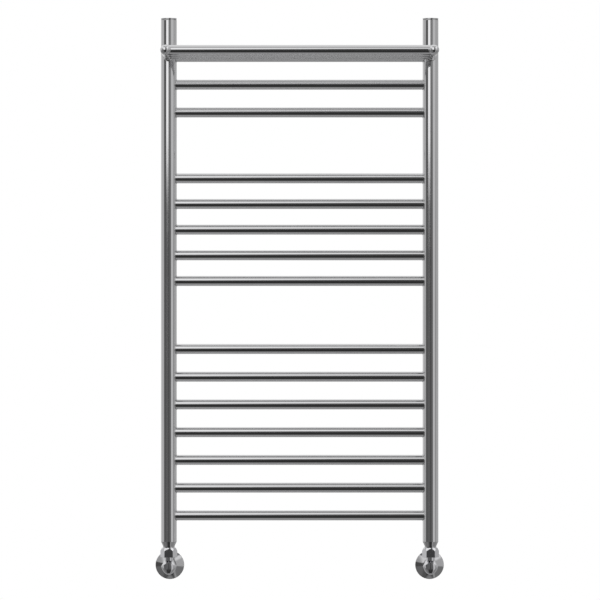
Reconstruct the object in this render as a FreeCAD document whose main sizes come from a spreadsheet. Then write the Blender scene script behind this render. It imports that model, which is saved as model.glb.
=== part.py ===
# Wall-mounted ladder towel rail with a towel shelf, water heated, built from polished tubes.
# Frame: +X to the right, +Y into the wall, +Z up, millimetres.
# Origin: on the wall plane, at the centre of the rectangle of the four bracket screws.
import FreeCAD, Part
import os
import re
import Sketcher

Vector = FreeCAD.Vector
Rotation = FreeCAD.Rotation

# Driving sizes, in the order in which the rail is put together.
SIZES = {
    # upright collectors
    "collector_spacing": 500,
    "collector_diameter": 30,
    "collector_wall": 2,
    "cap_thickness": 2,
    "cap_rounding": 0.8,
    "wall_distance": 62,
    # rungs, counted upwards from the collectors' lower end
    "rung_diameter": 19,
    "rung_wall": 1.5,
    "margin_low": 50,
    "pitch_low": 53,
    "gap_low": 130,
    "pitch_middle": 49,
    "gap_high": 126,
    "pitch_high": 53,
    "margin_high": 74,
    # shelf of three tubes between two arms
    "shelf_diameter": 19,
    "shelf_wall": 1.2,
    "shelf_pitch": 67.5,
    "shelf_rise": 1,
    # reducing nipple under each collector, with its G 1/2 thread
    "thread_diameter": 20.955,
    "cone_length": 8,
    "nipple_diameter": 22.5,
    "nipple_length": 3.5,
    "nipple_bore": 15,
    "nipple_thread": 10.5,
    # union nut, gasket and angle fitting
    "nut_flats": 28,
    "nut_lip": 3.4,
    "nut_crown": 24.8,
    "nut_slope": 50,
    "gasket_thickness": 2,
    "gasket_play": 0.3,
    "flange_thickness": 2.5,
    "spigot_diameter": 17.2,
    "elbow_diameter": 30,
    "elbow_drop": 18,
    "elbow_rise": 1.5,
    "elbow_shoulder": 8,
    "elbow_rounding": 18.5,
    "elbow_bore": 14,
    "shank_diameter": 20.6,
    "tail_start": 1,
    "tail_thread": 14,
    # wall rosette
    "rosette_diameter": 55,
    "rosette_height": 8,
    "rosette_wall": 1,
    "collar_wall": 2,
    "collar_height": 9.5,
    # air bleed valve near the top of each collector's back
    "bleed_inset": 25,
    "boss_diameter": 18,
    "boss_height": 6,
    "bleed_thread": 10,
    "bleed_flats": 15,
    "bleed_head": 5,
    "bleed_reach": 9,
    "screw_diameter": 6,
    "screw_depth": 7,
    "screw_head_diameter": 9,
    "screw_head_height": 4.5,
    "screw_slot": 1.2,
    "screw_slot_depth": 1.6,
    # telescopic wall brackets
    "bracket_low": 130,
    "bracket_spacing": 630,
    "stud_diameter": 12,
    "stud_overlap": 13,
    "sleeve_diameter": 25,
    "sleeve_length": 34,
    "base_diameter": 21,
    "base_thickness": 8,
    "grub_diameter": 5,
    "grub_inset": 6.5,
    "grub_socket": 2.5,
    "grub_socket_depth": 2.5,
    # wall screws
    "wood_screw_diameter": 4.5,
    "wood_screw_shank": 4,
    "wood_screw_length": 45,
    "wood_screw_head": 9,
    "wood_screw_tip": 5,
    "recess_width": 1.1,
    "recess_length": 4.6,
    "recess_depth": 1.8,
    # clearances
    "running_fit": 0.05,
    "screw_fit": 0.25,
    "face_gap": 0.3,
    "edge_break": 0.8,
}

# The rungs stand in three groups, with a wide gap for a folded towel between the groups.
RUNGS_LOW, RUNGS_MIDDLE, RUNGS_HIGH = 7, 5, 3
SHELF_TUBES = ["rear", "middle", "front"]
SIDES = {"left": -1, "right": 1}
LEVELS = {"lower": -1, "upper": 1}
NUT_SIDES = 6

doc = FreeCAD.newDocument("TowelRail")
sheet = doc.addObject("Spreadsheet::Sheet", "Sizes")
for row, (alias, value) in enumerate(SIZES.items(), start=1):
    sheet.set("A%d" % row, alias.replace("_", " "))
    sheet.set("B%d" % row, str(value))
    sheet.setAlias("B%d" % row, alias)
doc.recompute()

# Heights worked out from the driving sizes, counted from the collectors' lower end.
COLLECTOR_BOTTOM = "(0 - bracket_low - bracket_spacing / 2)"
MIDDLE_START = "(margin_low + %d * pitch_low + gap_low)" % (RUNGS_LOW - 1)
HIGH_START = "(%s + %d * pitch_middle + gap_high)" % (MIDDLE_START, RUNGS_MIDDLE - 1)
TOP_RUNG = "(%s + %d * pitch_high)" % (HIGH_START, RUNGS_HIGH - 1)
COLLECTOR_LENGTH = "(%s + margin_high)" % TOP_RUNG
RUNG_HEIGHTS = (
    ["margin_low + %d * pitch_low" % step for step in range(RUNGS_LOW)]
    + ["%s + %d * pitch_middle" % (MIDDLE_START, step) for step in range(RUNGS_MIDDLE)]
    + ["%s + %d * pitch_high" % (HIGH_START, step) for step in range(RUNGS_HIGH)]
)

# Depths under the collectors' lower end, down the pipe joint.
THREAD_TOP = "(cone_length + nipple_length)"
NUT_TOP = "(%s + face_gap)" % THREAD_TOP
NIPPLE_END = "(%s + nipple_thread)" % THREAD_TOP
FLANGE_TOP = "(%s + gasket_thickness)" % NIPPLE_END
FLANGE_BOTTOM = "(%s + flange_thickness)" % FLANGE_TOP
NUT_BOTTOM = "(%s + running_fit + nut_lip)" % FLANGE_BOTTOM
NECK_TOP = "(%s + face_gap)" % NUT_BOTTOM
ELBOW_AXIS = "(%s + elbow_drop)" % NECK_TOP

TURNS = {
    "+Z": Rotation(),
    "-Z": Rotation(Vector(1, 0, 0), 180),
    "+Y": Rotation(Vector(1, 0, 0), -90),
    "-Y": Rotation(Vector(1, 0, 0), 90),
    "+X": Rotation(Vector(0, 1, 0), 90),
    "-X": Rotation(Vector(0, 1, 0), -90),
}

subparts = []


def expression(text):
    """Name the sheet before each size in the text, as a bound expression needs."""
    return re.sub(r"[a-z_]+", lambda word: "Sizes." + word[0] if word[0] in SIZES else word[0], text)


def bind(item, **sizes):
    """Bind properties of an object to expressions of the sheet's sizes."""
    for prop, text in sizes.items():
        item.setExpression(prop, expression(text))
    return item


def place(item, x="0", y="0", z="0", along="+Z"):
    """Turn an object's own +Z to a direction of the frame and bind its position."""
    item.Placement = FreeCAD.Placement(Vector(), TURNS[along])
    for axis, text in zip("xyz", (x, y, z)):
        item.setExpression("Placement.Base." + axis, expression(text))
    return item


def cylinder(radius, height, x="0", y="0", z="0", along="+Z"):
    item = bind(doc.addObject("Part::Cylinder", "Cylinder"), Radius=radius, Height=height)
    return place(item, x, y, z, along)


def cone(radius_1, radius_2, height, x="0", y="0", z="0", along="+Z"):
    item = doc.addObject("Part::Cone", "Cone")
    bind(item, Radius1=radius_1, Radius2=radius_2, Height=height)
    return place(item, x, y, z, along)


def sphere(radius, x="0", y="0", z="0", along="+Z"):
    return place(bind(doc.addObject("Part::Sphere", "Sphere"), Radius=radius), x, y, z, along)


def box(length, width, height, x="0", y="0", z="0"):
    item = bind(doc.addObject("Part::Box", "Box"), Length=length, Width=width, Height=height)
    return place(item, x, y, z)


def prism(flats, height, x="0", y="0", z="0", along="+Z"):
    """A six-sided bar of a given width across flats."""
    item = doc.addObject("Part::Prism", "Prism")
    item.Polygon = NUT_SIDES
    bind(item, Circumradius="%s / 2 / cos(30 deg)" % flats, Height=height)
    return place(item, x, y, z, along)


def fuse(*items):
    item = doc.addObject("Part::MultiFuse", "Fuse")
    item.Shapes = list(items)
    return item


def common(*items):
    item = doc.addObject("Part::MultiCommon", "Common")
    item.Shapes = list(items)
    return item


def cut(base, *tools):
    item = doc.addObject("Part::Cut", "Cut")
    item.Base = base
    item.Tool = tools[0] if len(tools) == 1 else fuse(*tools)
    return item


def group(*items):
    item = doc.addObject("Part::Compound", "Group")
    item.Links = list(items)
    return item


def subpart(label, item):
    """Give a finished sub-part the name of its node."""
    item.Label = label
    subparts.append(item)
    return item


def cap_body(label):
    """Round plate with its outer edge rounded, as a padded sketch."""
    body = doc.addObject("PartDesign::Body", "Cap")
    sketch = body.newObject("Sketcher::SketchObject", "CapOutline")
    plane = next(part for part in body.Origin.OriginFeatures if part.Role == "XY_Plane")
    sketch.AttachmentSupport = [(plane, "")]
    sketch.MapMode = "FlatFace"
    radius = SIZES["collector_diameter"] / 2
    circle = sketch.addGeometry(Part.Circle(Vector(), Vector(0, 0, 1), radius))
    sketch.addConstraint(Sketcher.Constraint("Coincident", circle, 3, -1, 1))
    width = sketch.addConstraint(Sketcher.Constraint("Diameter", circle, 2 * radius))
    sketch.setExpression("Constraints[%d]" % width, expression("collector_diameter"))
    pad = body.newObject("PartDesign::Pad", "CapPad")
    pad.Profile = sketch
    bind(pad, Length="cap_thickness")
    doc.recompute()
    top = max(pad.Shape.Edges, key=lambda edge: edge.CenterOfMass.z)
    number = 1 + [edge.isSame(top) for edge in pad.Shape.Edges].index(True)
    rim = body.newObject("PartDesign::Fillet", "CapRim")
    rim.Base = (pad, ["Edge%d" % number])
    bind(rim, Radius="cap_rounding")
    return subpart(label, body)


# Collectors: upright tubes that carry the water, pierced where each rung opens into them.
for side, sign in SIDES.items():
    tube = cylinder("collector_diameter / 2", COLLECTOR_LENGTH + " - cap_thickness")
    bore = cylinder("collector_diameter / 2 - collector_wall", COLLECTOR_LENGTH)
    inward = "+X" if sign < 0 else "-X"
    ports = [
        cylinder("rung_diameter / 2 - rung_wall", "collector_diameter", z=height, along=inward)
        for height in RUNG_HEIGHTS
    ]
    ports.append(cylinder("bleed_thread / 2", "collector_diameter",
                          z=COLLECTOR_LENGTH + " - bleed_inset", along="+Y"))
    across = "%d * collector_spacing / 2" % sign
    collector = subpart("collector_" + side, cut(tube, bore, *ports))
    place(collector, x=across, y="-wall_distance", z=COLLECTOR_BOTTOM)
    cap = cap_body("collector_cap_" + side)
    place(cap, x=across, y="-wall_distance",
          z="%s + %s - cap_thickness" % (COLLECTOR_BOTTOM, COLLECTOR_LENGTH))

# Rungs: tubes between the collectors, each end cut to the collector's curve and welded on.
for number, height in enumerate(RUNG_HEIGHTS, start=1):
    bar = cylinder("rung_diameter / 2", "collector_spacing", x="-collector_spacing / 2", along="+X")
    bore = cylinder("rung_diameter / 2 - rung_wall", "collector_spacing",
                    x="-collector_spacing / 2", along="+X")
    saddles = [
        cylinder("collector_diameter / 2", "2 * rung_diameter",
                 x="%d * collector_spacing / 2" % sign, z="-rung_diameter")
        for sign in SIDES.values()
    ]
    rung = subpart("rung_%02d" % number, cut(bar, bore, *saddles))
    place(rung, y="-wall_distance", z="%s + %s" % (COLLECTOR_BOTTOM, height))

# Shelf: two arms welded to the collectors' fronts, closed by domes, with three tubes between.
SHELF_HEIGHT = "%s + %s + shelf_rise" % (COLLECTOR_BOTTOM, TOP_RUNG)
ARM_END = "(%d * shelf_pitch + shelf_diameter / 2)" % len(SHELF_TUBES)
for side, sign in SIDES.items():
    across = "%d * collector_spacing / 2" % sign
    bar = cylinder("shelf_diameter / 2", ARM_END, along="-Y")
    bore = cylinder("shelf_diameter / 2 - shelf_wall", ARM_END, along="-Y")
    saddle = cylinder("collector_diameter / 2", "2 * shelf_diameter", z="-shelf_diameter")
    arm = subpart("shelf_arm_" + side, cut(bar, bore, saddle))
    place(arm, x=across, y="-wall_distance", z=SHELF_HEIGHT)
    ball = sphere("shelf_diameter / 2", along="-Y")
    hollow = sphere("shelf_diameter / 2 - shelf_wall", along="-Y")
    back_half = cylinder("shelf_diameter", "shelf_diameter", along="+Y")
    dome = subpart("shelf_arm_cap_" + side, cut(ball, hollow, back_half))
    place(dome, x=across, y="-wall_distance - " + ARM_END, z=SHELF_HEIGHT)

for step, name in enumerate(SHELF_TUBES, start=1):
    bar = cylinder("shelf_diameter / 2", "collector_spacing", x="-collector_spacing / 2", along="+X")
    bore = cylinder("shelf_diameter / 2 - shelf_wall", "collector_spacing",
                    x="-collector_spacing / 2", along="+X")
    saddles = [
        cylinder("shelf_diameter / 2", "2 * shelf_diameter",
                 x="%d * collector_spacing / 2" % sign, y="-shelf_diameter", along="+Y")
        for sign in SIDES.values()
    ]
    tube = subpart("shelf_tube_" + name, cut(bar, bore, *saddles))
    place(tube, y="-wall_distance - %d * shelf_pitch" % step, z=SHELF_HEIGHT)

# Pipe joints: nipple, union nut, gasket, angle fitting with its tail in the wall, and rosette.
for side, sign in SIDES.items():
    across = "%d * collector_spacing / 2" % sign
    at_collector = {"x": across, "y": "-wall_distance", "z": COLLECTOR_BOTTOM}

    shoulder = cone("collector_diameter / 2", "nipple_diameter / 2", "cone_length", along="-Z")
    neck = cylinder("nipple_diameter / 2", "nipple_length", z="-cone_length", along="-Z")
    thread = cylinder("thread_diameter / 2", "nipple_thread", z="-" + THREAD_TOP, along="-Z")
    bore = cylinder("nipple_bore / 2", NIPPLE_END, along="-Z")
    nipple = subpart("nipple_" + side, cut(fuse(shoulder, neck, thread), bore))
    place(nipple, **at_collector)

    height = "(%s - %s)" % (NUT_BOTTOM, NUT_TOP)
    spread = "nut_crown / 2 + %s / tan(nut_slope * 1 deg)" % height
    hexagon = prism("nut_flats", height, z="-" + NUT_BOTTOM)
    crown = cone(spread, "nut_crown / 2", height, z="-" + NUT_BOTTOM)
    thread = cylinder("thread_diameter / 2 + running_fit", NUT_BOTTOM + " - nut_lip",
                      z="nut_lip - " + NUT_BOTTOM)
    lip_bore = cylinder("spigot_diameter / 2 + running_fit", NUT_BOTTOM, z="-" + NUT_BOTTOM)
    nut = subpart("union_nut_" + side, cut(common(hexagon, crown), thread, lip_bore))
    place(nut, **at_collector)

    disc = cylinder("thread_diameter / 2 - gasket_play", "gasket_thickness",
                    z="-" + NIPPLE_END, along="-Z")
    hole = cylinder("nipple_bore / 2", FLANGE_TOP, along="-Z")
    gasket = subpart("union_gasket_" + side, cut(disc, hole))
    place(gasket, **at_collector)

    flange = cylinder("thread_diameter / 2 - gasket_play", "flange_thickness",
                      z="-" + FLANGE_TOP, along="-Z")
    spigot = cylinder("spigot_diameter / 2", "%s - %s" % (ELBOW_AXIS, FLANGE_TOP),
                      z="-" + FLANGE_TOP, along="-Z")
    upright = cylinder("elbow_diameter / 2", "elbow_diameter / 2 + elbow_rise",
                       z="elbow_rise - " + ELBOW_AXIS, along="-Z")
    level_bar = cylinder("elbow_diameter / 2", "elbow_diameter",
                         y="-elbow_diameter / 2", z="-" + ELBOW_AXIS, along="+Y")
    ball = sphere("elbow_rounding", z="-" + ELBOW_AXIS, along="+X")
    shoulder = cone("elbow_diameter / 2", "spigot_diameter / 2", "elbow_shoulder",
                    z="elbow_rise - " + ELBOW_AXIS)
    shank = cylinder("shank_diameter / 2", "wall_distance + tail_start", z="-" + ELBOW_AXIS, along="+Y")
    tail = cylinder("thread_diameter / 2", "tail_thread - edge_break",
                    y="wall_distance + tail_start", z="-" + ELBOW_AXIS, along="+Y")
    tail_end = cone("thread_diameter / 2", "thread_diameter / 2 - edge_break", "edge_break",
                    y="wall_distance + tail_start + tail_thread - edge_break",
                    z="-" + ELBOW_AXIS, along="+Y")
    down_bore = cylinder("elbow_bore / 2", "%s - %s" % (ELBOW_AXIS, FLANGE_TOP),
                         z="-" + FLANGE_TOP, along="-Z")
    corner = sphere("elbow_bore / 2", z="-" + ELBOW_AXIS)
    back_bore = cylinder("elbow_bore / 2", "wall_distance + tail_start + tail_thread",
                         z="-" + ELBOW_AXIS, along="+Y")
    knee = common(upright, level_bar, ball)
    outside = fuse(flange, spigot, shoulder, knee, shank, tail, tail_end)
    fitting = subpart("angle_fitting_" + side, cut(outside, fuse(down_bore, corner, back_bore)))
    place(fitting, **at_collector)

    dome_radius = "((rosette_diameter^2 / 4 + rosette_height^2) / (2 * rosette_height))"
    dome_centre = "%s - rosette_height" % dome_radius
    inner_radius = dome_radius + " - rosette_wall"
    outline = cylinder("rosette_diameter / 2", "rosette_height", along="-Y")
    dome = common(outline, sphere(dome_radius, y=dome_centre, along="-Y"))
    shell = cut(dome, sphere(inner_radius, y=dome_centre, along="-Y"))
    hole_radius = "thread_diameter / 2 + face_gap"
    collar_start = "(rosette_height / 2)"
    collar = cylinder(hole_radius + " + collar_wall", "collar_height - " + collar_start,
                      y="-" + collar_start, along="-Y")
    hole = cylinder(hole_radius, "2 * collar_height", y="-2 * collar_height", along="+Y")
    rosette = subpart("rosette_" + side, cut(fuse(shell, collar), hole))
    place(rosette, x=across, z="%s - %s" % (COLLECTOR_BOTTOM, ELBOW_AXIS))

# Air bleed: a boss on the collector's back, a valve body screwed into it and a slotted screw.
BOSS_END = "(collector_diameter / 2 + boss_height)"
VALVE_END = "(%s + bleed_head)" % BOSS_END
for side, sign in SIDES.items():
    at_valve = {
        "x": "%d * collector_spacing / 2" % sign,
        "y": "-wall_distance",
        "z": "%s + %s - bleed_inset" % (COLLECTOR_BOTTOM, COLLECTOR_LENGTH),
    }
    bar = cylinder("boss_diameter / 2", BOSS_END, along="+Y")
    bore = cylinder("bleed_thread / 2", BOSS_END, along="+Y")
    saddle = cylinder("collector_diameter / 2", "2 * boss_diameter", z="-boss_diameter")
    boss = subpart("bleed_boss_" + side, cut(bar, bore, saddle))
    place(boss, **at_valve)

    hexagon = prism("bleed_flats", "bleed_head", y=BOSS_END, along="+Y")
    spigot = cylinder("bleed_thread / 2 - running_fit", "bleed_reach",
                      y=BOSS_END + " - bleed_reach", along="+Y")
    seat = cylinder("screw_diameter / 2 + running_fit", "screw_depth",
                    y=VALVE_END + " - screw_depth", along="+Y")
    valve = subpart("bleed_valve_" + side, cut(fuse(hexagon, spigot), seat))
    place(valve, **at_valve)

    shaft = cylinder("screw_diameter / 2", "screw_depth",
                     y=VALVE_END + " - screw_depth + face_gap", along="+Y")
    head = cylinder("screw_head_diameter / 2", "screw_head_height", y=VALVE_END + " + face_gap", along="+Y")
    slot = box("2 * screw_head_diameter", "2 * screw_slot_depth", "screw_slot",
               x="-screw_head_diameter",
               y=VALVE_END + " + face_gap + screw_head_height - screw_slot_depth",
               z="-screw_slot / 2")
    screw = subpart("bleed_screw_" + side, cut(fuse(shaft, head), slot))
    place(screw, **at_valve)

# Brackets: a stud on each collector's back slides in a sleeve that screws onto a wall base.
STUD_END = "(sleeve_length - stud_overlap)"
grubs, screws = [], []
for level, up in LEVELS.items():
    for side, sign in SIDES.items():
        corner = level + "_" + side
        at_wall = {"x": "%d * collector_spacing / 2" % sign, "z": "%d * bracket_spacing / 2" % up}

        bar = cylinder("stud_diameter / 2", "wall_distance - " + STUD_END, along="+Y")
        saddle = cylinder("collector_diameter / 2", "2 * stud_diameter", z="-stud_diameter")
        stud = subpart("bracket_stud_" + corner, cut(bar, saddle))
        place(stud, y="-wall_distance", **at_wall)

        tube = cylinder("sleeve_diameter / 2", "sleeve_length", along="-Y")
        bore = cylinder("stud_diameter / 2 + running_fit", "sleeve_length", along="-Y")
        socket = cylinder("base_diameter / 2", "base_thickness", along="-Y")
        grub_hole = cylinder("grub_diameter / 2", "sleeve_diameter",
                             y="grub_inset - sleeve_length", along="-Z")
        sleeve = subpart("bracket_sleeve_" + corner, cut(tube, bore, socket, grub_hole))
        place(sleeve, **at_wall)

        disc = cylinder("base_diameter / 2 - running_fit", "base_thickness", along="-Y")
        hole = cylinder("wood_screw_diameter / 2 + screw_fit", "base_thickness", along="-Y")
        sink_depth = "(wood_screw_head - wood_screw_diameter) / 2"
        sink = cone("wood_screw_head / 2 + screw_fit", "wood_screw_diameter / 2 + screw_fit", sink_depth,
                    y="-base_thickness", along="+Y")
        base = subpart("bracket_base_" + corner, cut(disc, hole, sink))
        place(base, **at_wall)

        tip_radius = "(stud_diameter / 2 + face_gap)"
        pin = cylinder("grub_diameter / 2 - running_fit",
                       "sleeve_diameter / 2 - %s - face_gap" % tip_radius,
                       y="grub_inset - sleeve_length", z="-" + tip_radius, along="-Z")
        key = prism("grub_socket", "sleeve_diameter / 2", y="grub_inset - sleeve_length",
                    z="grub_socket_depth + face_gap - sleeve_diameter / 2", along="-Z")
        grubs.append(place(cut(pin, key), **at_wall))

        threaded = "(wood_screw_length - base_thickness - wood_screw_tip)"
        shank = cylinder("wood_screw_shank / 2", "base_thickness", y="-base_thickness", along="+Y")
        thread = cylinder("wood_screw_diameter / 2", threaded, along="+Y")
        head = cone("wood_screw_head / 2", "wood_screw_shank / 2", sink_depth,
                    y="-base_thickness", along="+Y")
        tip = cone("wood_screw_diameter / 2", "wood_screw_diameter / 8", "wood_screw_tip",
                   y=threaded, along="+Y")
        flat_slot = box("recess_length", "recess_depth", "recess_width",
                        x="-recess_length / 2", y="-base_thickness", z="-recess_width / 2")
        upright_slot = box("recess_width", "recess_depth", "recess_length",
                           x="-recess_width / 2", y="-base_thickness", z="-recess_length / 2")
        screws.append(place(cut(fuse(shank, thread, head, tip), flat_slot, upright_slot), **at_wall))

subpart("sleeve_grub_screws", group(*grubs))
subpart("wall_screws", group(*screws))

# Build the document and write each sub-part to its own file.
doc.recompute()
for item in doc.Objects:
    if "Invalid" in item.State or "Error" in item.State:
        raise RuntimeError("%s failed: %s" % (item.Name, item.State))
for item in subparts:
    if item.Shape.isNull() or not item.Shape.isValid():
        raise RuntimeError("%s has no valid shape" % item.Label)

os.makedirs("parts", exist_ok=True)
for item in subparts:
    item.Shape.exportStep(os.path.join("parts", item.Label + ".step"))
print("%d sub-parts written" % len(subparts))
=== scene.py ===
import math

import bmesh
import bpy
from mathutils import Matrix, Vector


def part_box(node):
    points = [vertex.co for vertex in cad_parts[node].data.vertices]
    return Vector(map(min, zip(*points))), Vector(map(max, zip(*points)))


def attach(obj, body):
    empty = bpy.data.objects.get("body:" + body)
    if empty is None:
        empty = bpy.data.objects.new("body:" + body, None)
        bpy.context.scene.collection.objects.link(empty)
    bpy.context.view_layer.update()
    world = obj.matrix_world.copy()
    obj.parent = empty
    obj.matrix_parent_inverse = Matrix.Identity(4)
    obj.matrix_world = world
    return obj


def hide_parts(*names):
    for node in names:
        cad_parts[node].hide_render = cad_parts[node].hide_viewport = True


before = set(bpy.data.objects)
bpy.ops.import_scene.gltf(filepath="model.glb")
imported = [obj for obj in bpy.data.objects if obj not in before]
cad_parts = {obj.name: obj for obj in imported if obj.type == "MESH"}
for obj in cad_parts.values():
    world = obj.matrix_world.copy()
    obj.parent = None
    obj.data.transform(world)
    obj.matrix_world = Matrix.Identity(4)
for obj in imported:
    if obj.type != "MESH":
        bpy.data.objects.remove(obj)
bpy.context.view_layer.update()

# --- Camera -------------------------------------------------------------------------------
# A long lens, level, straight in front of the rail and a little under the middle of it, so
# that the tubes stand upright and the shelf is seen from below.
MM = 0.001
left_low, left_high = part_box("collector_left")
right_low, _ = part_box("collector_right")
pipe_radius = (left_high.x - left_low.x) / 2
pipe_y = (left_low.y + left_high.y) / 2
pipe_low = left_low.z
pipe_spacing = right_low.x - left_low.x

camera_distance = 8.0
camera_offset = 0.6 * MM
camera_rise = 461.55 * MM
width_in_view = 1146.6 * MM
camera_data = bpy.data.cameras.new("front_camera")
camera_data.sensor_width = 36
camera_data.lens = camera_data.sensor_width * camera_distance / width_in_view
camera_data.clip_end = 40
camera = bpy.data.objects.new("front_camera", camera_data)
camera.location = (camera_offset, pipe_y - camera_distance, pipe_low + camera_rise)
camera.rotation_euler = (math.radians(90), 0, 0)
bpy.context.scene.collection.objects.link(camera)
bpy.context.scene.camera = camera
bpy.context.scene.view_settings.view_transform = "Standard"


# --- Studio -------------------------------------------------------------------------------
# A white studio: softboxes up to the left and right, grey flats at the sides, a dark front.
# Polished tube is all reflection, so these are what draws the light and dark bands on it.
class Flow:
    """An output socket in a node tree. Arithmetic on it adds Math nodes to the tree."""

    def __init__(self, tree, socket=None):
        self.tree = tree
        self.socket = socket

    def node(self, kind, sockets=None, output=0, **settings):
        """A node with its settings made first, then the values and links of its sockets."""
        item = self.tree.nodes.new(kind)
        for name, value in settings.items():
            setattr(item, name, value)
        for name, value in (sockets or {}).items():
            if isinstance(value, Flow):
                self.tree.links.new(value.socket, item.inputs[name])
            else:
                item.inputs[name].default_value = value
        return Flow(self.tree, item.outputs[output])

    def math(self, operation, *others):
        return self.node("ShaderNodeMath", dict(enumerate((self,) + others)), operation=operation)

    def __add__(self, other):
        return self.math("ADD", other)

    def __mul__(self, other):
        return self.math("MULTIPLY", other)

    def __rsub__(self, other):
        return self.math("MULTIPLY_ADD", -1.0, other)

    __radd__ = __add__
    __rmul__ = __mul__

    def step(self, start, end):
        """0 below start, 1 above end, and a soft step between them."""
        return self.node("ShaderNodeMapRange", {"Value": self, "From Min": start, "From Max": end},
                         interpolation_type="SMOOTHSTEP")

    def window(self, low, high, soft):
        """1 between low and high, with edges that are soft over the given width."""
        fall = self.step(high - soft / 2, high + soft / 2)
        return self.step(low - soft / 2, low + soft / 2) * (1 - fall)


# Each panel: its azimuth from the front, positive to the right, and its elevation, both in
# degrees and each with the width of its soft edges, then its brightness. Later ones stand in
# front of earlier ones.
ALL_ROUND = None
PANELS = [
    ("left back", (-220, -118, 20), (-120, 12, 10), 0.68),
    ("right back", (115, 220, 24), (-120, 25, 20), 0.48),
    ("left flat", (-122, -75, 30), (-120, 12, 10), 0.52),
    ("right flat", (66, 122, 24), (-120, 40, 20), 0.45),
    ("right post", (68, 78, 6), (-62, 1.5, 4), 0.20),
    ("ground", ALL_ROUND, (-120, -7, 6), 0.34),
    ("right screen", (33, 66, 10), (-62, 54, 10), 0.60),
    ("left high softbox", (-100, -34, 12), (10, 56, 8), 1.0),
    ("right high softbox", (38, 90, 10), (24, 62, 10), 1.05),
    ("left screen", (-108, -50, 12), (9, 35, 8), 0.5),
    ("left flag", (-75, -30, 18), (-62, 9, 6), 0.10),
    ("left floor", (-110, -26, 12), (-120, -10, 6), 0.20),
    ("right floor", (40, 110, 12), (-120, -10, 6), 0.26),
    ("right flag", (2, 33, 10), (-62, 60, 8), 0.27),
    ("right high flag", (5, 30, 8), (9, 56, 8), 0.07),
    ("ceiling", (-90, 90, 40), (54, 80, 6), 0.40),
    ("front", (-46, 33, 8), (-62, 2.5, 4), 0.13),
    ("dark foreground", (-24, 24, 8), (-60, -5, 3), 0.035),
    ("camera", (-4, 4, 3), (-8, 10.5, 4), 0.06),
]
# The main softbox stands up to the front left and leans to the right as it rises, and a dark
# flag cuts its right edge.
SOFTBOX = (-38, -3.9, 6), (1.8, 51, 1.1), 1.08
SOFTBOX_LEAN = 0.172
SOFTBOX_EDGE = (-0.6, 12, 5), (7, 28, 6), 0.12
BACK_WALL = 0.85
PLAIN_LIGHT = 0.9

world = bpy.data.worlds.new("studio")
world.use_nodes = True
bpy.context.scene.world = world
world.node_tree.nodes.clear()
sky = Flow(world.node_tree)
direction = sky.node("ShaderNodeTexCoord", output="Generated")
axes = sky.node("ShaderNodeSeparateXYZ", {"Vector": direction}).socket.node.outputs
across, depth, height = (Flow(sky.tree, axes[name]) for name in "XYZ")
azimuth = across.math("ARCTAN2", depth * -1) * math.degrees(1)
elevation = height.math("ARCSINE") * math.degrees(1)


def with_panel(level, mask, brightness):
    """The level with a panel in front of it where the mask is 1."""
    return level * (1 - mask) + brightness * mask


level = BACK_WALL
for _, sides, heights, brightness in PANELS:
    mask = elevation.window(*heights)
    if sides is not ALL_ROUND:
        mask = mask * azimuth.window(*sides)
    level = with_panel(level, mask, brightness)
sides, heights, brightness = SOFTBOX
mask = (azimuth + elevation * -SOFTBOX_LEAN).window(*sides) * elevation.window(*heights)
level = with_panel(level, mask, brightness)
sides, heights, brightness = SOFTBOX_EDGE
mask = azimuth.window(*sides) * elevation.window(*heights)
level = with_panel(level, mask, brightness)

# Only reflections see the panels. The camera sees plain white, and all else plain light.
ray = sky.node("ShaderNodeLightPath").socket.node.outputs
glossy, seen = (Flow(sky.tree, ray[name]) for name in ("Is Glossy Ray", "Is Camera Ray"))
strength = (level * glossy + PLAIN_LIGHT * (1 - glossy)) * (1 - seen) + seen
shine = sky.node("ShaderNodeBackground", {"Color": (1, 1, 1, 1), "Strength": strength})
output = sky.tree.nodes.new("ShaderNodeOutputWorld")
sky.tree.links.new(shine.socket, output.inputs["Surface"])

# The floor lies under the pipes' lower ends, as it does under a wall-hung rail.
floor_gap, floor_radius, floor_sides = 400 * MM, 3.2, 96
floor_turns = [math.tau * step / floor_sides for step in range(floor_sides)]
floor_edge = [(floor_radius * math.cos(turn), floor_radius * math.sin(turn), 0)
              for turn in floor_turns]
floor_mesh = bpy.data.meshes.new("floor")
floor_mesh.from_pydata(floor_edge, [], [tuple(range(floor_sides))])
floor = bpy.data.objects.new("floor", floor_mesh)
floor.location.z = pipe_low - floor_gap
floor.visible_glossy = False
bpy.context.scene.collection.objects.link(floor)
floor_paint = bpy.data.materials.new("pale_floor")
floor_paint.use_nodes = True
floor_surface = floor_paint.node_tree.nodes["Principled BSDF"]
floor_surface.inputs["Base Color"].default_value = (0.86, 0.86, 0.86, 1)
floor_surface.inputs["Roughness"].default_value = 0.9
floor_mesh.materials.append(floor_paint)

lamp_data = bpy.data.lights.new("softbox", "AREA")
lamp_data.size = 2.5
lamp_data.energy = 25
lamp = bpy.data.objects.new("softbox", lamp_data)
lamp.location = (-0.8, -1.6, 2.6)
lamp.rotation_euler = (-lamp.location).to_track_quat("-Z", "Y").to_euler()
lamp.visible_glossy = False
bpy.context.scene.collection.objects.link(lamp)


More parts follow.
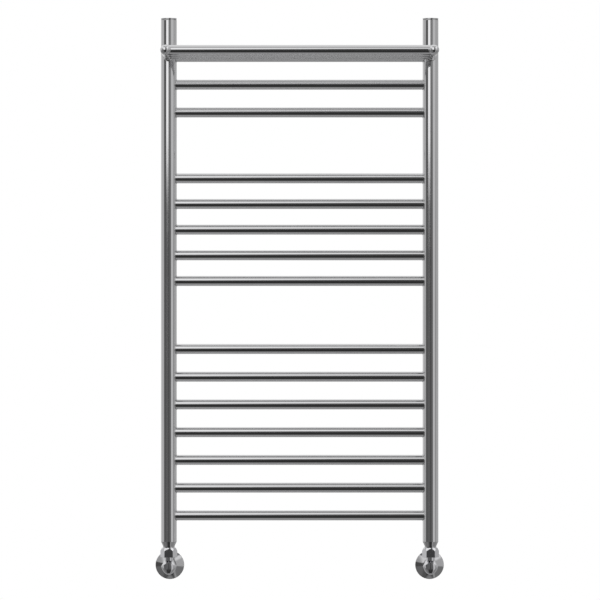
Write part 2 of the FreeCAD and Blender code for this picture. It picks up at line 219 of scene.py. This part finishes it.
# --- Collectors ---------------------------------------------------------------------------
# Two upright stainless tubes, mirror polished along their length. They carry the water, and
# everything else is welded to them. A flat plate with a rounded rim closes each top, over a
# weld seam that is ground down.
def metal(name, stretch, colour=(0.74, 0.74, 0.75), roughness=0.05, relief=1.0):
    """Polished metal. Stretch is how fine its polishing lines are along each axis, and relief
    is how much the lines and the fine specks between them stand out."""
    cloud_fineness, speck_fineness = 14.0, 260.0
    finish = bpy.data.materials.new(name)
    finish.use_nodes = True
    surface = finish.node_tree.nodes["Principled BSDF"]
    start = Flow(finish.node_tree)
    place = start.node("ShaderNodeTexCoord", output="Object")
    grain = start.node("ShaderNodeMapping", {"Vector": place, "Scale": stretch})
    lines = start.node("ShaderNodeTexNoise", {"Vector": grain, "Scale": 1.0, "Detail": 3.0})
    clouds = start.node("ShaderNodeTexNoise",
                        {"Vector": place, "Scale": cloud_fineness, "Detail": 4.0})
    specks = start.node("ShaderNodeTexNoise",
                        {"Vector": place, "Scale": speck_fineness, "Detail": 2.0})
    shade = 0.96 + 0.03 * clouds + 0.03 * lines
    tint = start.node("ShaderNodeMix", {0: 1.0, 6: (*colour, 1), 7: shade}, output=2,
                      data_type="RGBA", blend_type="MULTIPLY")
    gloss = roughness * (0.6 + 0.5 * clouds.step(0.35, 0.7) + 0.4 * lines)
    bump = start.node("ShaderNodeBump", {"Height": 0.7 * lines + 0.3 * specks,
                                         "Strength": 0.3 * relief, "Distance": 0.01 * MM})
    start.tree.links.new(tint.socket, surface.inputs["Base Color"])
    start.tree.links.new(gloss.socket, surface.inputs["Roughness"])
    start.tree.links.new(bump.socket, surface.inputs["Normal"])
    surface.inputs["Metallic"].default_value = 1.0
    return finish


def skin(rows, ring=False):
    """A shape from rows of points. A ring joins its last row to its first; any other shape is
    closed by a face at its first row and one at its last."""
    count = len(rows[0])
    points = [tuple(point) for row in rows for point in row]
    faces = []
    for row in range(len(rows) if ring else len(rows) - 1):
        here, there = row * count, (row + 1) % len(rows) * count
        for step in range(count):
            after = (step + 1) % count
            faces.append((here + step, here + after, there + after, there + step))
    if not ring:
        faces += [tuple(range(count)), tuple(range((len(rows) - 1) * count, len(rows) * count))]
    return points, faces


def turned(profile, ring=False, sides=96):
    """A shape turned about +Z from a profile of (radius, height) points."""
    turns = [math.tau * side / sides for side in range(sides)]
    return skin([[(radius * math.cos(turn), radius * math.sin(turn), z) for turn in turns]
                 for radius, z in profile], ring)


def corner(before, tip, after, steps=6):
    """Points of the round that replaces a profile's corner, between the two given ends."""
    parts = [math.radians(90) * step / steps for step in range(steps + 1)]
    return [tuple(t + (b - t) * (1 - math.sin(part)) + (a - t) * (1 - math.cos(part))
                  for b, t, a in zip(before, tip, after)) for part in parts]


TURNS = {
    "+z": Matrix(),
    "-z": Matrix.Rotation(math.pi, 4, "X"),
    "+y": Matrix.Rotation(-math.pi / 2, 4, "X"),
    "-y": Matrix.Rotation(math.pi / 2, 4, "X"),
    "forward": Matrix.Rotation(-math.pi / 2, 4, "Z"),
}


def moved(shape, x, y, z, turn="+z"):
    """The shape turned, so that its own +Z points as given, and then moved. Forward is the
    turn that lays a tube along X forward from the wall."""
    points, faces = shape
    return [tuple(TURNS[turn] @ Vector(point) + Vector((x, y, z))) for point in points], faces


def piece(name, shapes, finish, body, stands_for=()):
    """One object made of closed shapes. It rides on its body in place of its CAD nodes. Edges
    sharper than sharp_edge stay crisp, and the rest is smooth."""
    sharp_edge = math.radians(30)
    points, faces = [], []
    for shape_points, shape_faces in shapes:
        faces += [tuple(len(points) + index for index in face) for face in shape_faces]
        points += shape_points
    mesh = bpy.data.meshes.new(name)
    mesh.from_pydata(points, [], faces)
    build = bmesh.new()
    build.from_mesh(mesh)
    bmesh.ops.recalc_face_normals(build, faces=build.faces)
    build.to_mesh(mesh)
    build.free()
    mesh.polygons.foreach_set("use_smooth", [True] * len(mesh.polygons))
    mesh.set_sharp_from_angle(angle=sharp_edge)
    mesh.materials.append(finish)
    item = bpy.data.objects.new(name, mesh)
    bpy.context.scene.collection.objects.link(item)
    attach(item, body)
    if stands_for:
        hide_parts(*stands_for)
    return item


SIDES = ("left", "right")
FINE, LONG = 900, 6
upright_steel = metal("upright_polished_steel", (FINE, FINE, LONG))
# The seam is coloured dark as painted shade, which stands in for the shade in the groove under
# each end plate.
painted_shade_seam_steel = metal("ground_seam_painted_shade", (400, 400, 400), (0.4, 0.4, 0.4), 0.15, 3.0)
rim_round = 1 * MM
seam_low, seam_high, seam_depth = 2.2 * MM, 0.5 * MM, 0.6 * MM
pipe_x = {}
for side in SIDES:
    low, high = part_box("collector_" + side)
    seam_z = high.z
    pipe_x[side] = (low.x + high.x) / 2
    tube = turned([(pipe_radius, 0), (pipe_radius, seam_z - seam_low - low.z)])
    piece("collector_tube_" + side, [moved(tube, pipe_x[side], pipe_y, low.z)], upright_steel,
          "rail", ["collector_" + side])
    low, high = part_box("collector_cap_" + side)
    thick = high.z - low.z
    rim = corner((pipe_radius, thick - rim_round), (pipe_radius, thick),
                 (pipe_radius - rim_round, thick))
    plate = turned([(pipe_radius, seam_high)] + rim)
    piece("end_plate_" + side, [moved(plate, pipe_x[side], pipe_y, low.z)], upright_steel,
          "rail", ["collector_cap_" + side])
    seam = turned([(pipe_radius, -seam_low),
                   (pipe_radius - seam_depth, (seam_high - seam_low) / 2),
                   (pipe_radius, seam_high)])
    piece("end_plate_weld_" + side, [moved(seam, pipe_x[side], pipe_y, seam_z)], painted_shade_seam_steel,
          "rail")


# --- Rungs --------------------------------------------------------------------------------
# Fifteen thinner tubes between the collectors, their ends cut to the collectors' curve. A
# narrow polished weld runs round each end.
def ring_points(radius, post, x, inward, across, sides=72):
    """Where a tube along X meets a round post at x: an upright one if across is "y", or one
    that lies along Y if it is "z". Inward is the way from the post into the tube."""
    points = []
    for side in range(sides):
        turn = math.tau * side / sides
        y, z = radius * math.cos(turn), radius * math.sin(turn)
        off = y if across == "y" else z
        points.append(Vector((x + inward * math.sqrt(max(post ** 2 - off ** 2, 0)), y, z)))
    return points


def tube_between(radius, start, end, across="y"):
    """A tube along X between two ends, each given as (x, radius of the post there). It bites
    a little into both posts."""
    bite = 0.3 * MM
    first = ring_points(radius, start[1], start[0] - bite, 1, across)
    last = ring_points(radius, end[1], end[0] + bite, -1, across)
    return skin([first, last])


def weld(radius, post, x, inward, across="y", size=0.9 * MM, around=12):
    """A thin bead along the seam between a tube along X and a post. Its thickness wavers."""
    rows = []
    for index, seat in enumerate(ring_points(radius, post, x, inward, across)):
        out = Vector((0, seat.y, seat.z)).normalized()
        waver = 0.06 * math.sin(index * 1.9) + 0.04 * math.sin(index * 0.7)
        bead = size * (1 + waver)
        rows.append([seat + bead * (math.cos(roll) * out + Vector((math.sin(roll), 0, 0)))
                     for roll in (math.tau * step / around for step in range(around))])
    return skin(rows, ring=True)


# The welds are coloured darker than the tubes as painted shade, which stands in for the shade in
# the crevice where the tubes meet.
painted_shade_weld_steel = metal("polished_weld_painted_shade", (400, 400, 400), (0.62, 0.62, 0.62), 0.12, 3.0)
level_steel = metal("level_polished_steel", (LONG, FINE, FINE), relief=0.5)
posts = [(sign * pipe_spacing / 2, -sign) for sign in (-1, 1)]
for node in sorted(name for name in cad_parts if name.startswith("rung_")):
    low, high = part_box(node)
    rung_radius = (high.z - low.z) / 2
    rung_z = (low.z + high.z) / 2
    tube = tube_between(rung_radius, (-pipe_spacing / 2, pipe_radius),
                        (pipe_spacing / 2, pipe_radius))
    piece(node + "_tube", [moved(tube, 0, pipe_y, rung_z)], level_steel,
          "rail", [node])
    beads = [weld(rung_radius, pipe_radius, x, inward) for x, inward in posts]
    piece(node + "_welds", [moved(bead, 0, pipe_y, rung_z) for bead in beads], painted_shade_weld_steel,
          "rail")

# --- Shelf --------------------------------------------------------------------------------
# Two arms run forward from the collectors and end in domes, and three tubes lie between
# them. All of it is the same polished tube, welded.
forward_steel = metal("forward_polished_steel", (FINE, LONG, FINE))
dome_turns = [math.radians(3.7) * step for step in range(25)]
for side in SIDES:
    low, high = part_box("shelf_arm_" + side)
    arm_radius = (high.x - low.x) / 2
    arm_z = (low.z + high.z) / 2
    reach = pipe_y - low.y
    tube = tube_between(arm_radius, (0, pipe_radius), (reach, 0))
    piece("shelf_arm_tube_" + side, [moved(tube, pipe_x[side], pipe_y, arm_z, "forward")],
          forward_steel, "rail", ["shelf_arm_" + side])
    bead = weld(arm_radius, pipe_radius, 0, 1)
    piece("shelf_arm_weld_" + side, [moved(bead, pipe_x[side], pipe_y, arm_z, "forward")],
          painted_shade_weld_steel, "rail")
    dome = turned([(arm_radius * math.cos(turn), arm_radius * math.sin(turn))
                   for turn in dome_turns])
    piece("shelf_arm_dome_" + side, [moved(dome, pipe_x[side], low.y, arm_z, "-y")],
          forward_steel, "rail", ["shelf_arm_cap_" + side])
for node in sorted(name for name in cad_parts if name.startswith("shelf_tube_")):
    low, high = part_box(node)
    shelf_radius = (high.z - low.z) / 2
    tube_y, tube_z = (low.y + high.y) / 2, (low.z + high.z) / 2
    tube = tube_between(shelf_radius, (-pipe_spacing / 2, arm_radius),
                        (pipe_spacing / 2, arm_radius), "z")
    piece(node + "_visible", [moved(tube, 0, tube_y, tube_z)], level_steel,
          "rail", [node])
    beads = [weld(shelf_radius, arm_radius, x, inward, "z") for x, inward in posts]
    piece(node + "_welds", [moved(bead, 0, tube_y, tube_z) for bead in beads], painted_shade_weld_steel,
          "rail")


# --- Pipe unions --------------------------------------------------------------------------
# Under each collector a steel nipple narrows to its thread, and a chromed union nut draws
# the angle fitting's flange against it, over a rubber gasket.
def hexagon(flats, height, bore, crown, slope, steps=12):
    """A hexagonal body along +Z with a bore. A cone cuts back its upper corners: it starts at
    the crown's radius and drops by the slope."""
    rows = [[] for _ in range(6)]
    for step in range(6 * steps):
        turn = math.radians(60) * step / steps
        edge = flats / 2 / math.cos(math.radians(60) * (step % steps) / steps - math.radians(30))
        drop = (edge - crown) * slope
        profile = [(bore, 0), (edge, 0), (edge, (height - drop) / 2), (edge, height - drop),
                   (crown, height), (bore, height)]
        for row, (radius, z) in zip(rows, profile):
            row.append((radius * math.cos(turn), radius * math.sin(turn), z))
    return skin(rows, ring=True)


def finish_node(node, finish):
    """Gives its finish to a CAD node that is shown as it is."""
    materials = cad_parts[node].data.materials
    materials.clear()
    materials.append(finish)


chrome = metal("bright_chrome", (220, 220, 220), (0.76, 0.76, 0.78), 0.035, 0.7)
rubber = bpy.data.materials.new("black_rubber")
rubber.use_nodes = True
rubber_surface = rubber.node_tree.nodes["Principled BSDF"]
rubber_flow = Flow(rubber.node_tree)
rubber_place = rubber_flow.node("ShaderNodeTexCoord", output="Object")
grit = rubber_flow.node("ShaderNodeTexNoise",
                        {"Vector": rubber_place, "Scale": 900.0, "Detail": 3.0})
rubber_bump = rubber_flow.node("ShaderNodeBump",
                               {"Height": grit, "Strength": 0.4, "Distance": 0.05 * MM})
rubber_gloss = 0.55 + 0.25 * grit
rubber_surface.inputs["Base Color"].default_value = (0.02, 0.02, 0.02, 1)
rubber.node_tree.links.new(rubber_gloss.socket, rubber_surface.inputs["Roughness"])
rubber.node_tree.links.new(rubber_bump.socket, rubber_surface.inputs["Normal"])
cone_height, cone_lead, cone_round = 8 * MM, 0.5 * MM, 0.2 * MM
neck_radius, neck_end, nipple_thread = 11.25 * MM, 11.5 * MM, 10.2 * MM
nut_mouth, nut_crown, nut_slope, nut_ease = 10.55 * MM, 13.3 * MM, 2.1, 0.25 * MM
for side in SIDES:
    low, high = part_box("nipple_" + side)
    nipple_length = high.z - low.z
    cone = [(pipe_radius, 0), (pipe_radius - cone_round, cone_lead),
            (neck_radius + cone_round / 2, cone_height - cone_round),
            (neck_radius, cone_height + cone_round)]
    neck = [(neck_radius, neck_end), (nipple_thread, neck_end), (nipple_thread, nipple_length)]
    piece("nipple_cone_" + side, [moved(turned(cone + neck), pipe_x[side], pipe_y, high.z, "-z")],
          upright_steel, "rail", ["nipple_" + side])
    low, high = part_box("union_nut_" + side)
    nut = hexagon(high.y - low.y, high.z - low.z, nut_mouth, nut_crown, nut_slope)
    item = piece("union_hexagon_" + side, [moved(nut, pipe_x[side], pipe_y, low.z)], chrome,
                 "nut_" + side, ["union_nut_" + side])
    bevel = item.modifiers.new("eased_edges", "BEVEL")
    bevel.width = nut_ease
    bevel.segments = 3
    bevel.limit_method = "ANGLE"
    bevel.angle_limit = math.radians(25)
    finish_node("union_gasket_" + side, rubber)

# --- Angle fittings -----------------------------------------------------------------------
# Chromed castings that turn the pipe to the wall. A neck rises to the nut from a sloping
# shoulder, and a shank with a threaded tail runs back through the rosette into the wall.
spigot_radius, neck_start, neck_flare = 8.6 * MM, 12 * MM, 1.15
ridge_middle, ridge_side = 9.5 * MM, 1.5 * MM
round_from, face_rounding, face_squareness = 6 * MM, 18.5 * MM, 14


def knee_skin(radius, turn, z):
    """How far the casting reaches from its upright axis at a height. It is an upright tube
    above round_from, and below it narrows to a round bottom with a flatter front."""
    narrowest = 1e-4
    under = max(0, (round_from - z) / (radius + round_from))
    wide = radius * math.sqrt(max(1 - under ** 2, narrowest))
    face = math.sqrt(face_rounding ** 2 - min(z, 0) ** 2)
    deep = (radius ** -face_squareness + face ** -face_squareness) ** (-1 / face_squareness)
    fullness = 2 + under
    return (abs(math.cos(turn) / wide) ** fullness
            + abs(math.sin(turn) / deep) ** fullness) ** (-1 / fullness)


def knee(radius, steps=40, sides=144):
    """Rows from the lowest point up to the neck. The front stays upright to a ridge that falls
    from its middle to both sides, and above the ridge it slopes to the neck."""
    face_parts, slope_parts = (0.25, 0.5, 0.75, 1), (0.04, 0.1, 0.35, 0.65, 0.93, 1)
    turns = [math.tau * side / sides for side in range(sides)]
    rows = [[(turn, -radius * math.cos(math.radians(90) * step / steps)) for turn in turns]
            for step in range(steps + 1)]
    ridge = [ridge_middle - (ridge_middle - ridge_side) * abs(math.cos(turn)) for turn in turns]
    rows += [[(turn, top * part) for turn, top in zip(turns, ridge)] for part in face_parts]
    rows = [[(knee_skin(radius, turn, z), turn, z) for turn, z in row] for row in rows]
    last = rows[-1]
    for part in slope_parts:
        rows.append([(reach + (spigot_radius - reach) * part, turn,
                      z + (neck_start - z) * part ** neck_flare) for reach, turn, z in last])
    return [[(reach * math.cos(turn), reach * math.sin(turn), z) for reach, turn, z in row]
            for row in rows]


shank_radius, tail_start, tail_bore = 10.3 * MM, 1 * MM, 7 * MM
thread_radius, thread_depth, pitch = 10.4775 * MM, 0.9 * MM, 1.814 * MM
for side in SIDES:
    low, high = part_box("angle_fitting_" + side)
    radius = (high.x - low.x) / 2
    knee_z = low.z + radius
    neck_top = high.z - knee_z
    rows = knee(radius)
    rows.append([(x, y, neck_top) for x, y, z in rows[-1]])
    body = moved(skin(rows), pipe_x[side], pipe_y, knee_z)
    shank = turned([(shank_radius, 0), (shank_radius, tail_start - pipe_y)])
    crests = [(thread_radius - (thread_depth if step % 2 else 0), tail_start + step * pitch / 2)
              for step in range(int((high.y - tail_start) / pitch * 2))]
    end = [(thread_radius - thread_depth, high.y), (tail_bore, high.y)]
    tail = turned([(tail_bore, tail_start)] + crests + end, ring=True)
    piece("angle_knee_" + side, [body, moved(shank, pipe_x[side], pipe_y, knee_z, "+y"),
                                 moved(tail, pipe_x[side], 0, knee_z, "+y")],
          chrome, "rail", ["angle_fitting_" + side])

# --- Rosettes -----------------------------------------------------------------------------
# Thin covers spun from brass and chromed, which hide the pipe's hole in the wall, each with
# a collar round the shank. They slide forward on it.
# The covers are coloured darker than the other chrome as painted shade, which stands in for their
# dimmer look near the wall and under the knee.
spun_chrome_painted_shade = metal("spun_chrome_painted_shade", (FINE, 40, FINE), (0.56, 0.56, 0.57), 0.09, 1.5)
cover_height, sheet, belly, cover_steps = 8 * MM, 1 * MM, 1.1, 40
collar_inner, collar_outer, collar_start = 10.7775 * MM, 12.7775 * MM, 4 * MM
edge_ease, collar_round = 0.3 * MM, 0.5 * MM


def cover_at(radius, edge):
    """The cover's height over the wall: a cone with a slight belly that ends at the edge."""
    return cover_height * (1 - max(0, (radius - collar_outer) / (edge - collar_outer)) ** belly)


for side in SIDES:
    low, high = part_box("rosette_" + side)
    rim_radius = (high.x - low.x) / 2
    rosette_z = (low.z + high.z) / 2
    collar_top = high.y - low.y
    cover_rim = rim_radius - edge_ease
    outside = [cover_rim - (cover_rim - collar_outer) * step / cover_steps
               for step in range(cover_steps + 1)]
    inside = outside[:3:-1]
    profile = [(rim_radius - sheet, 0), (cover_rim, 0), (rim_radius, edge_ease / 2)]
    profile += [(radius, cover_at(radius, rim_radius)) for radius in outside]
    profile += corner((collar_outer, collar_top - collar_round), (collar_outer, collar_top),
                      (collar_outer - collar_round, collar_top))
    profile += [(collar_inner, collar_top), (collar_inner, collar_start)]
    profile += [(radius, cover_at(radius, rim_radius - sheet) - sheet / 2) for radius in inside]
    cover = turned(profile, ring=True, sides=144)
    piece("rosette_dome_" + side, [moved(cover, pipe_x[side], high.y, rosette_z, "-y")],
          spun_chrome_painted_shade, "cover_" + side, ["rosette_" + side])

# --- Air bleeds ---------------------------------------------------------------------------
# On the back of each collector, near its top: a welded steel boss, a chromed valve body
# screwed into it and a slotted screw that lets the air out.
boss_start, boss_ease = pipe_radius - 3.5 * MM, 0.5 * MM
valve_height, valve_bore, valve_crown, valve_slope = 5 * MM, 3.05 * MM, 0.475, 0.58
for side in SIDES:
    low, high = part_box("bleed_boss_" + side)
    boss_radius, boss_z = (high.x - low.x) / 2, (low.z + high.z) / 2
    boss_top = high.y - pipe_y
    boss = turned([(boss_radius, boss_start), (boss_radius, boss_top - boss_ease),
                   (boss_radius - boss_ease, boss_top)])
    piece("bleed_seat_" + side, [moved(boss, pipe_x[side], pipe_y, boss_z, "+y")],
          forward_steel, "rail", ["bleed_boss_" + side])
    low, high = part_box("bleed_valve_" + side)
    flats = high.z - low.z
    valve = hexagon(flats, valve_height, valve_bore, valve_crown * flats, valve_slope)
    piece("bleed_hexagon_" + side,
          [moved(valve, pipe_x[side], high.y - valve_height, boss_z, "+y")],
          chrome, "rail", ["bleed_valve_" + side])
    finish_node("bleed_screw_" + side, chrome)

# --- Wall brackets ------------------------------------------------------------------------
# Behind each collector, two studs slide in chromed sleeves. Each sleeve sits on a zinc-plated
# base that one screw holds to the wall, and a grub screw underneath clamps the stud.
zinc = metal("zinc_plate", (70, 70, 70), (0.6, 0.62, 0.66), 0.28, 4.0)
stud_start, stud_ease, stud_play = pipe_radius - 2 * MM, 0.6 * MM, 0.05 * MM
sleeve_round, socket, socket_depth = 0.8 * MM, 10.5 * MM, 8 * MM
finish_node("sleeve_grub_screws", zinc)
finish_node("wall_screws", zinc)
for height in ("lower", "upper"):
    for side in SIDES:
        place = height + "_" + side
        finish_node("bracket_base_" + place, zinc)
        low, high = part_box("bracket_stud_" + place)
        stud_radius, stud_z = (high.x - low.x) / 2, (low.z + high.z) / 2
        stud_top = high.y - pipe_y
        stud = turned([(stud_radius, stud_start), (stud_radius, stud_top - stud_ease),
                       (stud_radius - stud_ease, stud_top)])
        piece("bracket_bar_" + place, [moved(stud, pipe_x[side], pipe_y, stud_z, "+y")],
              forward_steel, "rail", ["bracket_stud_" + place])
        low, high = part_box("bracket_sleeve_" + place)
        sleeve_radius, sleeve_length = (high.x - low.x) / 2, high.y - low.y
        bore = stud_radius + stud_play
        profile = [(socket, 0), (sleeve_radius, 0)]
        profile += corner((sleeve_radius, sleeve_length - sleeve_round),
                          (sleeve_radius, sleeve_length),
                          (sleeve_radius - sleeve_round, sleeve_length))
        profile += [(bore, sleeve_length), (bore, socket_depth), (socket, socket_depth)]
        sleeve = turned(profile, ring=True)
        piece("bracket_tube_" + place, [moved(sleeve, pipe_x[side], high.y, stud_z, "-y")],
              chrome, "wall_side", ["bracket_sleeve_" + place])
